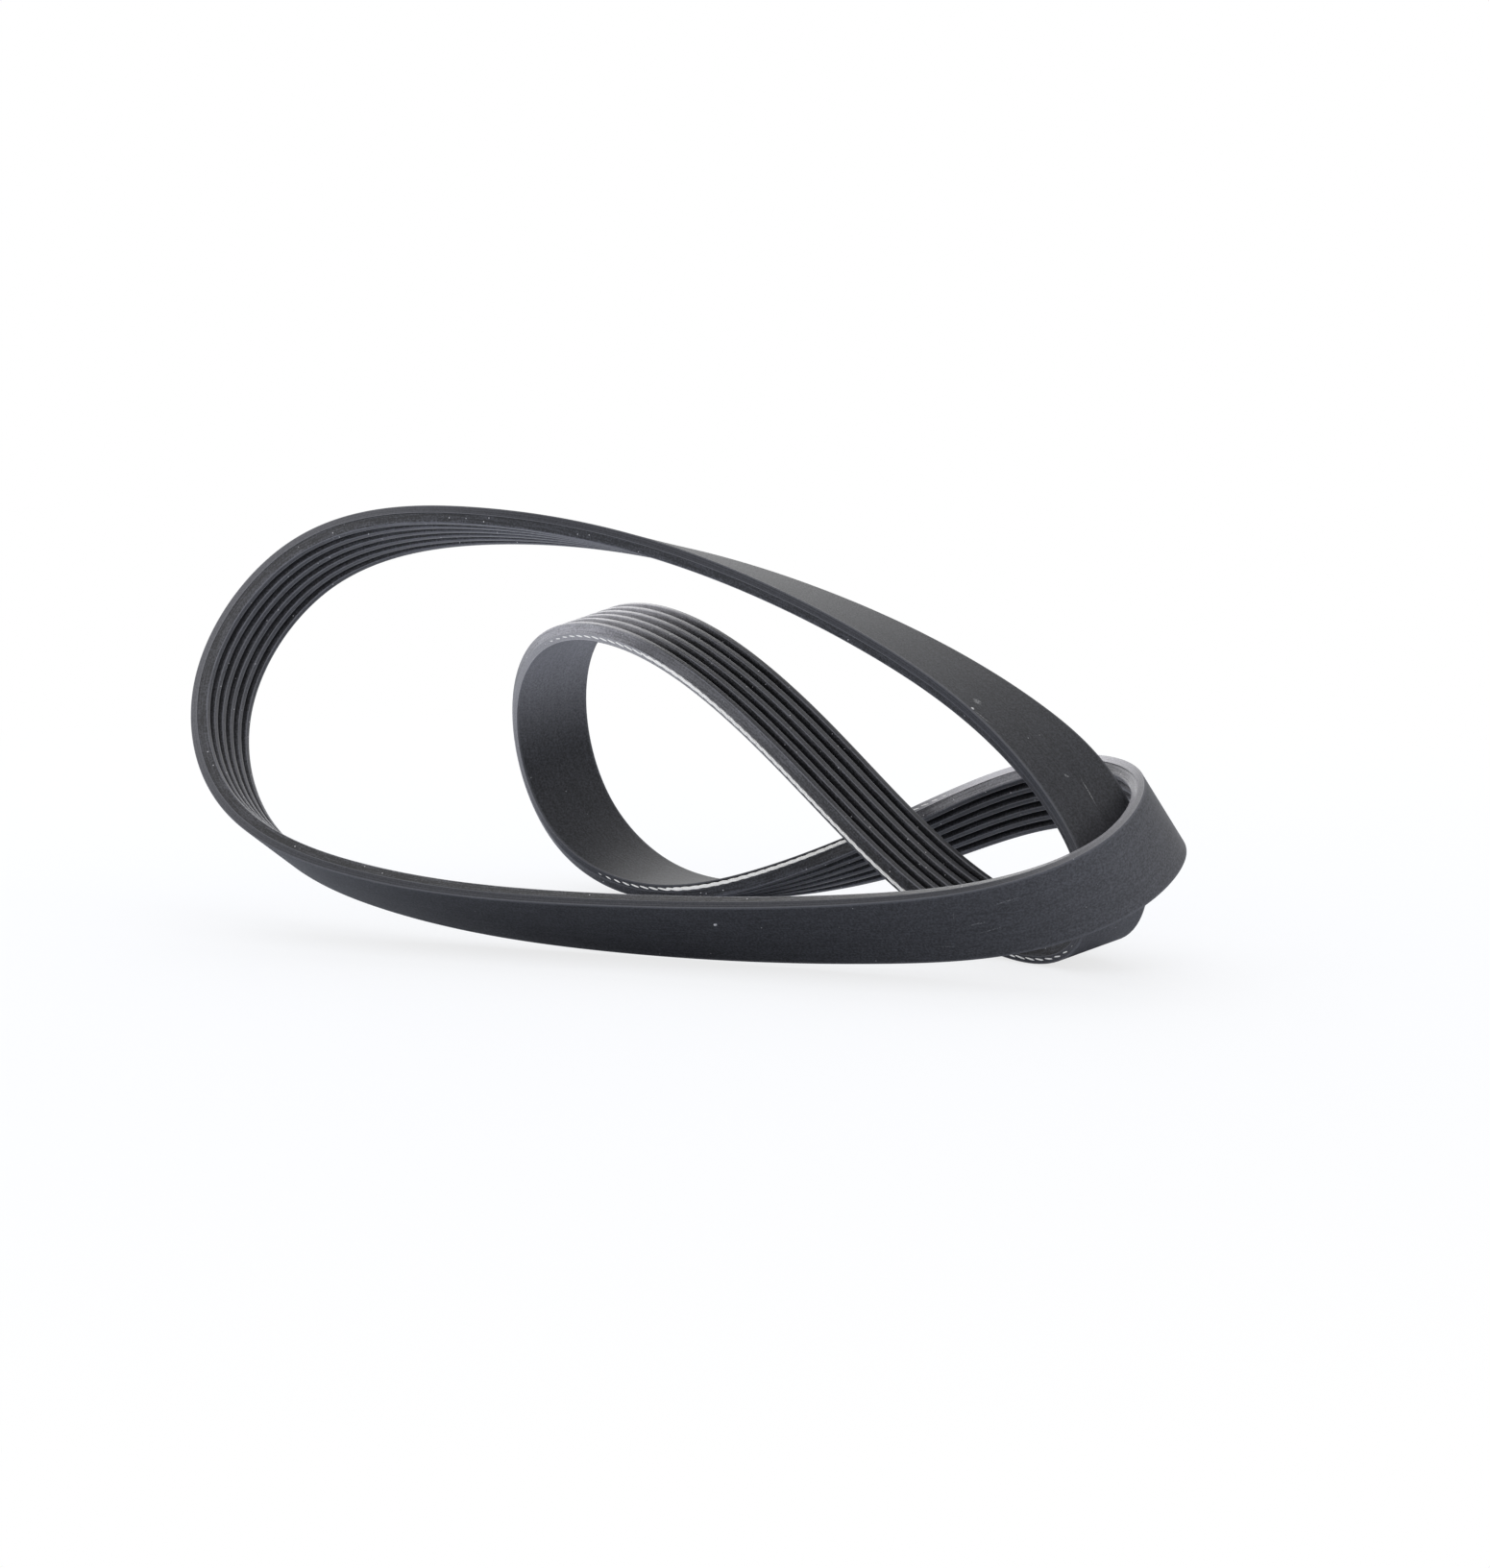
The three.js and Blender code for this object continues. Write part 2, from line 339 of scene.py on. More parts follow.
def add_node(tree, kind, inputs=None, output=None, **settings):
    """Adds a node, feeds it, and returns its named output, or the first one in use."""
    node = tree.nodes.new(kind)
    for name, value in settings.items():
        setattr(node, name, value)
    feed(node, inputs or {})
    in_use = [socket for socket in node.outputs if socket.enabled]
    return next((socket for socket in in_use if output in (None, socket.name)), None)


# %% A line of points that carries attributes
def make_line(name, points, attributes, is_ring):
    """A mesh of points joined in a row, with named attributes on the points."""
    edges = [(i, i + 1) for i in range(len(points) - 1)]
    if is_ring:
        edges.append((len(points) - 1, 0))
    mesh = bpy.data.meshes.new(name)
    mesh.from_pydata(points.tolist(), edges, [])
    for label, values in attributes.items():
        is_vector = values.ndim == 2
        attribute = mesh.attributes.new(label, "FLOAT_VECTOR" if is_vector else "FLOAT", "POINT")
        attribute.data.foreach_set("vector" if is_vector else "value", values.ravel().astype("f"))
    return add_object(name, mesh)


# %% A geometry tree with named sizes, and the plain mesh that it makes
SOCKET_KINDS = {
    int: "NodeSocketInt",
    float: "NodeSocketFloat",
    bpy.types.Material: "NodeSocketMaterial",
}


def new_tree(name, sizes):
    """An empty geometry tree with an input for each size, and the outputs that carry them."""
    tree = bpy.data.node_groups.new(name, "GeometryNodeTree")
    tree.interface.new_socket("Line", in_out="INPUT", socket_type="NodeSocketGeometry")
    for label, value in sizes.items():
        tree.interface.new_socket(label, in_out="INPUT", socket_type=SOCKET_KINDS[type(value)])
    tree.interface.new_socket("Mesh", in_out="OUTPUT", socket_type="NodeSocketGeometry")
    return tree, tree.nodes.new("NodeGroupInput").outputs


def run_tree(line, tree, sizes):
    """Replaces the line by what the tree makes of it, as a plain mesh with even shading."""
    modifier = line.modifiers.new(tree.name, "NODES")
    modifier.node_group = tree
    for item in tree.interface.items_tree:
        if item.name in sizes:
            modifier[item.identifier] = sizes[item.name]
    line.modifiers.new("even shading", "WEIGHTED_NORMAL").keep_sharp = True
    evaluated = line.evaluated_get(bpy.context.evaluated_depsgraph_get())
    mesh = bpy.data.meshes.new_from_object(evaluated)
    line.modifiers.clear()
    line.data = mesh
    mesh.calc_loop_triangles()
    print(line.name, len(mesh.loop_triangles), "triangles,", [m.name for m in mesh.materials])
    return line


# %% Colours
def colour(hex_code):
    """An sRGB hex value as linear red, green, blue and alpha."""
    parts = [int(hex_code[i : i + 2], 16) / 255 for i in (1, 3, 5)]
    return (*[p / 12.92 if p <= 0.04045 else ((p + 0.055) / 1.055) ** 2.4 for p in parts], 1)


def new_material(name):
    """A material, its tree and its Principled node."""
    material = bpy.data.materials.new(name)
    material.use_nodes = True
    return material, material.node_tree, material.node_tree.nodes["Principled BSDF"]


# %% Steps that several finishes share
def lay_over(tree, finish, layers):
    """Lays colours over a finish, one after the other, each as strongly as its share says."""
    for share, hex_code in layers:
        over = {"Factor": share, "A": finish, "B": colour(hex_code)}
        finish = add_node(tree, "ShaderNodeMix", over, data_type="RGBA")
    return finish


def add_stripe(tree, height, middle, half_width, paleness):
    """A line along the belt at one height: this pale in its middle, and 0 beside it."""
    above = add_node(tree, MATH, {0: height, 1: middle}, operation="SUBTRACT")
    off = add_node(tree, MATH, {0: above}, operation="ABSOLUTE")
    fade = {"Value": off, "From Max": half_width, "To Min": paleness, "To Max": 0.0}
    return add_node(tree, "ShaderNodeMapRange", fade)


def add_specks(tree, here, cell, size, share):
    """Round specks: 1 inside, 0 outside. Each cell of a Voronoi pattern has one, or none."""
    nearness = add_node(tree, "ShaderNodeTexVoronoi", {"Vector": here, "Scale": 1 / cell})
    lot = add_node(tree, "ShaderNodeSeparateXYZ", {"Vector": nearness.node.outputs["Color"]})
    is_near = add_node(tree, MATH, {0: nearness, 1: size / cell}, operation="LESS_THAN")
    is_drawn = add_node(tree, MATH, {0: lot, 1: share}, operation="LESS_THAN")
    return add_node(tree, MATH, {0: is_near, 1: is_drawn}, operation="MULTIPLY")


def add_haze_and_sheen(tree, strength, mottle, mottle_ends, shares):
    """Haze of this strength, partly painted sheen, in flecks: from one share of it to the other as
    the mottle rises.
    """
    (low, high), (least, most) = mottle_ends, shares
    rise = {"Value": mottle, "From Min": low, "From Max": high, "To Min": least, "To Max": most}
    flecks = add_node(tree, "ShaderNodeMapRange", rise)
    return add_node(tree, MATH, {0: strength, 1: flecks}, operation="MULTIPLY")


# %% [markdown]
# ## What the three rubbers read
#
# A pattern in object space has no seams and doesn't stretch in the bends, so grain and clouds
# use that. What the tools left runs along the belt, and that has to follow it. The mesh carries
# attributes for it: "section" holds the place across the belt and the height above the back,
# and "lay" the place along it, wound on a circle so that the pattern closes with the loop, and
# shortened so that each line runs on for a long way. A third attribute says how strong a pale
# haze is on ribs, edges and back. Bloomed wax gathers on tight bends, where the rubber is
# strained. The haze is partly that wax and partly painted sheen and highlight, where light grazes.

# %% Object space and attributes, for any finish
LAY_STRETCH = 25
CLOUD = 9 * MM


def read_places(tree, *names):
    """A place in object space, and these attributes of the mesh."""
    here = add_node(tree, "ShaderNodeTexCoord", output="Object")
    kinds = [{"output": "Vector", "attribute_name": name} for name in names]
    return here, *[add_node(tree, "ShaderNodeAttribute", **kind) for kind in kinds]


print("a line 1 mm wide runs on for about", LAY_STRETCH, "mm")

# %% [markdown]
# ## Smooth back: moulded EPDM rubber
#
# The back is vulcanised against a sleeve, which leaves a fine mottled grain and faint lines
# along the belt. EPDM filled with carbon black is a deep neutral grey with a slight cool cast.
# It is matt, handling adds soft clouds, and its two long corners are rubbed pale. The grain is
# some tenths of a millimetre wide, which is about as fine as the picture can show.

# %% Material: moulded EPDM rubber
GRAIN = 0.5 * MM
MOULD_LINE = 0.5 * MM
CORNER_WEAR = 0.8 * MM
CORNER_PALENESS = 0.4

back_rubber, tree, shader = new_material("moulded_epdm_rubber")
here, section, along, bloom_and_sheen = read_places(tree, "section", "lay", "bloom_and_sheen")
grain = add_node(tree, "ShaderNodeTexNoise", {"Vector": here, "Scale": 1 / GRAIN, "Detail": 2})
cloud = add_node(tree, "ShaderNodeTexNoise", {"Vector": here, "Scale": 1 / CLOUD, "Detail": 5})
moulded = {"Vector": along, "Scale": 1 / MOULD_LINE, "Detail": 2}
lines = add_node(tree, "ShaderNodeTexNoise", moulded)
faint_lines = add_node(tree, MATH, {0: lines, 1: 0.3}, operation="MULTIPLY")
mottle = add_node(tree, MATH, {0: grain, 1: faint_lines}, operation="ADD")
rise = {"From Min": 0.5, "From Max": 0.85, "To Max": 0.5}
lift = add_node(tree, "ShaderNodeMapRange", {"Value": mottle, **rise})
# The haze on the back is partly bloomed wax and partly painted sheen where light grazes it.
wax_and_sheen = add_node(tree, "ShaderNodeSeparateXYZ", {"Vector": bloom_and_sheen}, output="Z")
haze_and_sheen = add_haze_and_sheen(tree, wax_and_sheen, mottle, (0.45, 0.85), (0.75, 1.25))
across_place = add_node(tree, "ShaderNodeSeparateXYZ", {"Vector": section}, output="X")
off_middle = add_node(tree, MATH, {0: across_place}, operation="ABSOLUTE")
corner_starts = BELT_WIDTH / 2 - CORNER_WEAR
wear = {"From Min": corner_starts, "From Max": BELT_WIDTH / 2, "To Max": CORNER_PALENESS}
at_corner = add_node(tree, "ShaderNodeMapRange", {"Value": off_middle, **wear})
layers = [(cloud, "#28292c"), (lift, "#4b4c53"), (haze_and_sheen, "#8e8e93"), (at_corner, "#77787e")]
back_finish = lay_over(tree, colour("#18191c"), layers)
bump = add_node(tree, "ShaderNodeBump", {"Height": mottle, "Distance": 0.08 * MM, "Strength": 0.6})
feed(shader, {"Base Color": back_finish, "Normal": bump})
feed(shader, {"Roughness": 0.58, "Specular IOR Level": 0.28})
print(back_rubber.name)

# %% [markdown]
# ## Ribs: ground, fibre-filled rubber
#
# The ribs are ground out of the sleeve by a wheel that runs round the belt, so their surface
# has a fine lengthwise lay, and cut ends of the short fibres in the rubber show as pale specks.
# Grinding leaves the rib rubber a little smoother than the back, so it goes silvery where it
# is seen at a low angle. The grooves darken towards their floors, partly as black dust and
# partly as painted shade, and this thins out towards the tips. The very tips carry painted
# shade, and a pale line along their corners is a painted highlight. The flanks at the two sides
# of the belt stand free, so they get less of the groove darkening, and take on some of the
# haze of the edge beside them, which is partly bloomed wax and partly painted sheen.

# %% Material: ground rib rubber
LAY_LINE = 0.3 * MM
GROUND_GRAIN = 0.45 * MM

rib_rubber, tree, shader = new_material("ground_fibre_filled_rubber")
here, section, along, bloom_and_sheen = read_places(tree, "section", "lay", "bloom_and_sheen")
height = add_node(tree, "ShaderNodeSeparateXYZ", {"Vector": section}, output="Y")
ground = {"Vector": along, "W": height, "Scale": 1 / LAY_LINE, "Detail": 2}
lay = add_node(tree, "ShaderNodeTexNoise", ground, noise_dimensions="4D")
grain = add_node(
    tree, "ShaderNodeTexNoise", {"Vector": here, "Scale": 1 / GROUND_GRAIN, "Detail": 2}
)
cloud = add_node(tree, "ShaderNodeTexNoise", {"Vector": here, "Scale": 1 / CLOUD, "Detail": 4})
mottle = add_node(tree, MATH, {0: lay, 1: grain}, operation="ADD")
rise = {"From Min": 0.9, "From Max": 1.2, "To Max": 0.58}
streak = add_node(tree, "ShaderNodeMapRange", {"Value": mottle, **rise})
print(rib_rubber.name, "with streaks along the belt")

# %% Dust and painted shade in the grooves, less of it on the flanks at the two sides of the belt
TIP_LEVEL = BAND_THICKNESS + RIB_HEIGHT
FULL_DUST_AND_SHADE_LEVEL = TIP_LEVEL - 1.2 * MM
NO_DUST_AND_SHADE_LEVEL = TIP_LEVEL - 0.15 * MM
FULL_DUST_AND_SHADE = 0.82
OUTER_FLANK = 1.1 * MM
OUTER_FADE = 0.2 * MM
OUTER_SHARE = 0.4

across_place = add_node(tree, "ShaderNodeSeparateXYZ", {"Vector": section}, output="X")
off_middle = add_node(tree, MATH, {0: across_place}, operation="ABSOLUTE")
side_starts = BELT_WIDTH / 2 - OUTER_FLANK
side = {"From Min": side_starts, "From Max": side_starts + OUTER_FADE, "To Max": OUTER_SHARE}
on_outside = add_node(tree, "ShaderNodeMapRange", {"Value": off_middle, **side})
is_inside = add_node(tree, MATH, {0: 1, 1: on_outside}, operation="SUBTRACT")
# Darker towards the groove floors: partly black dust, partly painted shade in the grooves.
dust_and_shade_ramp = {"From Min": FULL_DUST_AND_SHADE_LEVEL, "From Max": NO_DUST_AND_SHADE_LEVEL, "To Min": FULL_DUST_AND_SHADE, "To Max": 0}
groove_dust_and_shade = add_node(tree, "ShaderNodeMapRange", {"Value": height, **dust_and_shade_ramp})
# This darkening is dust and painted shade together, with less of it on the outer flanks.
dust = add_node(tree, MATH, {0: groove_dust_and_shade, 1: is_inside}, operation="MULTIPLY")
print("dust in the grooves, full at", round(FULL_DUST_AND_SHADE_LEVEL / MM, 2), "mm above the back")

# %% Painted shade on the tips, a painted highlight along their corners, and haze
TIP_DEPTH = 0.06 * MM
TIP_SHADE = 0.75
HIGHLIGHT_LEVEL = TIP_LEVEL - 0.14 * MM
HIGHLIGHT_REACH = 0.16 * MM
HIGHLIGHT_PALENESS = 0.68

tip = {"From Min": TIP_LEVEL - TIP_DEPTH, "From Max": TIP_LEVEL, "To Max": TIP_SHADE}
shaded_tip = add_node(tree, "ShaderNodeMapRange", {"Value": height, **tip})
at_corner = add_stripe(tree, height, HIGHLIGHT_LEVEL, HIGHLIGHT_REACH, HIGHLIGHT_PALENESS)
# The haze on the ribs, and on the outer flanks from the edge beside them, is partly bloomed wax and
# partly painted sheen.
rib_wax_and_sheen = add_node(tree, "ShaderNodeSeparateXYZ", {"Vector": bloom_and_sheen}, output="X")
edge_wax_and_sheen = rib_wax_and_sheen.node.outputs["Y"]
outside_wax_and_sheen = add_node(tree, MATH, {0: edge_wax_and_sheen, 1: on_outside}, operation="MULTIPLY")
wax_and_sheen = add_node(tree, MATH, {0: rib_wax_and_sheen, 1: outside_wax_and_sheen}, operation="MAXIMUM")
haze_and_sheen = add_haze_and_sheen(tree, wax_and_sheen, mottle, (0.75, 1.25), (0.6, 1.3))
print("tips, the line along their corners, and haze")

# %% Specks: cut fibre ends, drawn wider than real ones so that they show
SPECK_CELL = 1.5 * MM
SPECK_SIZE = 0.15 * MM
SPECK_SHARE = 0.24

speck = add_specks(tree, here, SPECK_CELL, SPECK_SIZE, SPECK_SHARE)
# Layers: clouds, streaks, groove dust with painted shade, and painted shade on the tips.
layers = [(cloud, "#202125"), (streak, "#62636c"), (dust, "#0b0b0d"), (shaded_tip, "#141417")]
# Then a painted highlight along the tip corners, haze with painted sheen, and fibre specks.
layers += [(at_corner, "#7e7f87"), (haze_and_sheen, "#bcbbc1"), (speck, "#c9c8cc")]
rib_finish = lay_over(tree, colour("#141518"), layers)
bump = add_node(tree, "ShaderNodeBump", {"Height": mottle, "Distance": 0.09 * MM, "Strength": 0.8})
feed(shader, {"Base Color": rib_finish, "Normal": bump})
feed(shader, {"Roughness": 0.38, "Specular IOR Level": 0.42})
feed(shader, {"Sheen Weight": 0.1, "Sheen Roughness": 0.4, "Sheen Tint": colour("#f1f1f8")})
print(rib_rubber.name, "with", len(layers), "layers of colour")

# %% [markdown]
# ## Edges: knife-cut rubber
#
# A knife slits the sleeve into belts, so each edge is a flat cut through the layers: back
# layer, cord layer, rib rubber. The cut is matt and paler than the moulded skin. The knife
# leaves fine lines along the belt, the layers meet in pale seams, and the corner towards the
# back is rubbed. All of these depend on the height above the back alone, which "section" gives.

# %% Material: knife-cut edge
KNIFE_LINE = 0.2 * MM
CUT_GRAIN = 0.4 * MM
# height above the back, half its width, paleness
SEAMS = [(0.1 * MM, 0.3 * MM, 0.35), (0.75 * MM, 0.12 * MM, 0.12), (1.85 * MM, 0.14 * MM, 0.35)]

edge_rubber, tree, shader = new_material("knife_cut_rubber_edge")
here, section, bloom_and_sheen = read_places(tree, "section", "bloom_and_sheen")
height = add_node(tree, "ShaderNodeSeparateXYZ", {"Vector": section}, output="Y")
cut = {"W": height, "Scale": 1 / KNIFE_LINE, "Detail": 2}
line = add_node(tree, "ShaderNodeTexNoise", cut, noise_dimensions="1D")
grain = add_node(tree, "ShaderNodeTexNoise", {"Vector": here, "Scale": 1 / CUT_GRAIN, "Detail": 3})
both = add_node(tree, MATH, {0: line, 1: grain}, operation="ADD")
lined = add_node(tree, "ShaderNodeMapRange", {"Value": both, "From Min": 0.7, "From Max": 1.3})
seams = [add_stripe(tree, height, *seam) for seam in SEAMS]
# The haze on the cut edge is partly bloomed wax and partly painted sheen and highlight.
wax_and_sheen = add_node(tree, "ShaderNodeSeparateXYZ", {"Vector": bloom_and_sheen}, output="Y")
haze_and_sheen = add_haze_and_sheen(tree, wax_and_sheen, both, (0.7, 1.3), (0.75, 1.25))
layers = [(lined, "#414248"), *[(seam, "#85868d") for seam in seams], (haze_and_sheen, "#d8d7dc")]
edge_finish = lay_over(tree, colour("#26272b"), layers)
bump = add_node(tree, "ShaderNodeBump", {"Height": both, "Distance": 0.03 * MM, "Strength": 0.5})
feed(shader, {"Base Color": edge_finish, "Normal": bump})
feed(shader, {"Roughness": 0.6, "Specular IOR Level": 0.3})
print(edge_rubber.name)

# %% [markdown]
# ## The ribbed belt
#
# The belt is one section swept along one line, so Geometry Nodes fit it well: a rule places
# the corners of the section, Fillet Curve rounds them, and Curve to Mesh sweeps them. The rule
# works in groups of four corners. Each rib is a group: left root, left tip, right tip, right
# root. The flat band is one more group: right root, right back, left back, left root.
#
# Curve to Mesh lays the section's X along the line's normal, which is the belt's "across"
# here, and its Y away from the ribs, so a height above the back is a negative Y.

# %% The section's tree
belt_sizes = {
    "Rib Count": RIB_COUNT,
    "Rib Pitch": RIB_PITCH,
    "Rib Height": RIB_HEIGHT,
    "Rib Flank": RIB_FLANK,
    "Rib Tip Radius": RIB_TIP_RADIUS,
    "Groove Floor": GROOVE_FLOOR,
    "Groove Radius": GROOVE_RADIUS,
    "Band Thickness": BAND_THICKNESS,
    "Edge Radius": EDGE_RADIUS,
    "Cord To Back": CORD_TO_BACK,
    "Bed Radius": CORD_DIAMETER / 2 + CORD_CLEARANCE,
    "Back Rubber": back_rubber,
    "Edge Rubber": edge_rubber,
    "Rib Rubber": rib_rubber,
}
GROUP_CORNERS = 4
MIDDLE_CORNER = 1.5

tree, size = new_tree("ribbed_belt", belt_sizes)
ribs, pitch = size["Rib Count"], size["Rib Pitch"]
rib_height, band = size["Rib Height"], size["Band Thickness"]
edge_radius, bed_radius = size["Edge Radius"], size["Bed Radius"]
group_count = add_node(tree, MATH, {0: ribs, 1: 1}, operation="ADD")
corner_count = add_node(tree, MATH, {0: group_count, 1: GROUP_CORNERS}, operation="MULTIPLY")
corners = add_node(tree, "GeometryNodeMeshLine", {"Count": corner_count})
index = add_node(tree, "GeometryNodeInputIndex")
part = add_node(tree, MATH, {0: index, 1: GROUP_CORNERS}, operation="DIVIDE")
group = add_node(tree, MATH, {0: part}, operation="FLOOR")
corner = add_node(tree, MATH, {0: index, 1: GROUP_CORNERS}, operation="FLOORED_MODULO")
from_middle = add_node(tree, MATH, {0: corner, 1: MIDDLE_CORNER}, operation="SUBTRACT")
side = add_node(tree, MATH, {0: from_middle}, operation="SIGN")
is_outer = add_node(tree, MATH, {0: corner, 1: MIDDLE_CORNER, 2: 1}, operation="COMPARE")
is_rib = add_node(tree, MATH, {0: group, 1: ribs}, operation="LESS_THAN")
print("corners of the section", GROUP_CORNERS * (RIB_COUNT + 1))

# %% Corners of a rib: the roots stand a groove floor apart, and the flanks lean in to the tip
belt_width = add_node(tree, MATH, {0: ribs, 1: pitch}, operation="MULTIPLY")
half_width = add_node(tree, MATH, {0: belt_width, 1: 0.5}, operation="MULTIPLY")
ribs_before = add_node(tree, MATH, {0: group, 1: 0.5}, operation="ADD")
from_edge = add_node(tree, MATH, {0: ribs_before, 1: pitch}, operation="MULTIPLY")
middle = add_node(tree, MATH, {0: from_edge, 1: half_width}, operation="SUBTRACT")
root_width = add_node(tree, MATH, {0: pitch, 1: size["Groove Floor"]}, operation="SUBTRACT")
root_half = add_node(tree, MATH, {0: root_width, 1: 0.5}, operation="MULTIPLY")
slope = add_node(tree, MATH, {0: size["Rib Flank"]}, operation="TANGENT")
lean = add_node(tree, MATH, {0: rib_height, 1: slope}, operation="MULTIPLY")
lean_here = add_node(tree, MATH, {0: is_outer, 1: lean}, operation="MULTIPLY")
half_here = add_node(tree, MATH, {0: root_half, 1: lean_here}, operation="SUBTRACT")
rib_x = add_node(tree, MATH, {0: side, 1: half_here, 2: middle}, operation="MULTIPLY_ADD")
rib_level = add_node(tree, MATH, {0: is_outer, 1: rib_height, 2: band}, operation="MULTIPLY_ADD")
print("corners of the ribs after", len(tree.nodes), "nodes")

# %% Corners of the band, and the closed section
band_x = add_node(tree, MATH, {0: side, 1: half_width}, operation="MULTIPLY")
is_root = add_node(tree, MATH, {0: 1, 1: is_outer}, operation="SUBTRACT")
band_level = add_node(tree, MATH, {0: is_root, 1: band}, operation="MULTIPLY")
rib_corner = add_node(tree, "ShaderNodeCombineXYZ", {"X": rib_x, "Y": rib_level})
band_corner = add_node(tree, "ShaderNodeCombineXYZ", {"X": band_x, "Y": band_level})
mirrored = add_node(tree, VECTOR_MATH, {0: band_corner, 1: (-1, 1, 1)}, operation="MULTIPLY")
choice = {"Switch": is_rib, "False": mirrored, "True": rib_corner}
place = add_node(tree, "GeometryNodeSwitch", choice, input_type="VECTOR")
outline = add_node(tree, "GeometryNodeSetPosition", {"Geometry": corners, "Position": place})
outline = add_node(tree, "GeometryNodeMeshToCurve", {"Mesh": outline})
outline = add_node(tree, "GeometryNodeSetSplineCyclic", {"Geometry": outline, "Cyclic": True})
print("closed section after", len(tree.nodes), "nodes")

# %% [markdown]
# Fillet Curve takes a radius for each corner. Rib tips are rounded wide, groove floors narrow
# and back corners hardly, and the cut edges not at all at their roots: two switches choose. The
# cord's bed needs points along the near edge, so that edge is divided after the rounding.

# %% Rounding, and points along the near edge for the cord's bed
ROUNDING_STEPS = 3
BED_POINTS = 12
EDGE_SHARE = 0.995
SAME_LEVEL = 0.01 * MM

choice = {"Switch": is_outer, "False": size["Groove Radius"], "True": size["Rib Tip Radius"]}
rib_radius = add_node(tree, "GeometryNodeSwitch", choice, input_type="FLOAT")
band_radius = add_node(tree, MATH, {0: is_outer, 1: edge_radius}, operation="MULTIPLY")
choice = {"Switch": is_rib, "False": band_radius, "True": rib_radius}
radius = add_node(tree, "GeometryNodeSwitch", choice, input_type="FLOAT")
fillet = {"Curve": outline, "Radius": radius, "Count": ROUNDING_STEPS, "Limit Radius": True}
outline = add_node(tree, "GeometryNodeFilletCurve", fillet, mode="POLY")
spot = add_node(tree, "GeometryNodeInputPosition")
spot_x = add_node(tree, "ShaderNodeSeparateXYZ", {"Vector": spot}, output="X")
level = spot_x.node.outputs["Y"]
near_edge = add_node(tree, MATH, {0: half_width, 1: -EDGE_SHARE}, operation="MULTIPLY")
half_band = add_node(tree, MATH, {0: band, 1: 0.5}, operation="MULTIPLY")
is_near = add_node(tree, MATH, {0: spot_x, 1: near_edge}, operation="LESS_THAN")
is_low = add_node(tree, MATH, {0: level, 1: half_band}, operation="LESS_THAN")
is_edge = add_node(tree, MATH, {0: is_near, 1: is_low}, operation="MULTIPLY")
above_corner = add_node(tree, MATH, {0: level, 1: edge_radius, 2: SAME_LEVEL}, operation="COMPARE")
starts_edge = add_node(tree, MATH, {0: is_edge, 1: above_corner}, operation="MULTIPLY")
cuts = add_node(tree, MATH, {0: starts_edge, 1: BED_POINTS}, operation="MULTIPLY")
outline = add_node(tree, "GeometryNodeSubdivideCurve", {"Curve": outline, "Cuts": cuts})
kept = {"Geometry": outline, "Name": "section", "Value": spot}
outline = add_node(tree, "GeometryNodeStoreNamedAttribute", kept, data_type="FLOAT_VECTOR")
turned = add_node(tree, VECTOR_MATH, {0: spot, 1: (1, -1, 1)}, operation="MULTIPLY")
outline = add_node(tree, "GeometryNodeSetPosition", {"Geometry": outline, "Position": turned})
print("rounded section after", len(tree.nodes), "nodes")

# %% The sweep along the loop
across, section, circle = (
    add_node(tree, "GeometryNodeInputNamedAttribute", {"Name": name}, data_type="FLOAT_VECTOR")
    for name in ("across", "section", "circle")
)
openness_here = add_node(tree, "GeometryNodeInputNamedAttribute", {"Name": "open"})
loop = add_node(tree, "GeometryNodeMeshToCurve", {"Mesh": size["Line"]})
loop = add_node(tree, "GeometryNodeSetCurveNormal", {"Curve": loop, "Normal": across}, mode="FREE")
swept = add_node(tree, "GeometryNodeCurveToMesh", {"Curve": loop, "Profile Curve": outline})
print("sweep after", len(tree.nodes), "nodes")

# %% [markdown]
# The bed of the cord is half a round groove. Where a point of the near edge stands at a height
# h from the cord's middle, the bed is sqrt(r * r - h * h) deep, times how far it is open there.
# Points further from the cord than the bed's radius get a depth of 0, and so stay in place.

# %% The cord's bed
section_x = add_node(tree, "ShaderNodeSeparateXYZ", {"Vector": section}, output="X")
section_level = section_x.node.outputs["Y"]
sideways = add_node(tree, "ShaderNodeCombineXYZ", {"Z": section_x})
lay_place = add_node(tree, VECTOR_MATH, {0: circle, 1: sideways}, operation="ADD")
kept = {"Geometry": swept, "Name": "lay", "Value": lay_place}
swept = add_node(tree, "GeometryNodeStoreNamedAttribute", kept, data_type="FLOAT_VECTOR")
off_cord = add_node(tree, MATH, {0: section_level, 1: size["Cord To Back"]}, operation="SUBTRACT")
off_squared = add_node(tree, MATH, {0: off_cord, 1: off_cord}, operation="MULTIPLY")
bed_squared = add_node(tree, MATH, {0: bed_radius, 1: bed_radius}, operation="MULTIPLY")
left_over = add_node(tree, MATH, {0: bed_squared, 1: off_squared}, operation="SUBTRACT")
in_bed = add_node(tree, MATH, {0: left_over, 1: 0}, operation="MAXIMUM")
bed_depth = add_node(tree, MATH, {0: in_bed}, operation="SQRT")
depth_here = add_node(tree, MATH, {0: bed_depth, 1: openness_here}, operation="MULTIPLY")
sunk = add_node(tree, VECTOR_MATH, {0: across, 3: depth_here}, operation="SCALE")
bedded = add_node(tree, "GeometryNodeSetPosition", {"Geometry": swept, "Offset": sunk})
print("bed of the cord after", len(tree.nodes), "nodes")

# %% Shading and finishes: each face takes its rubber from its place in the section
SHARP_ANGLE = math.radians(40)

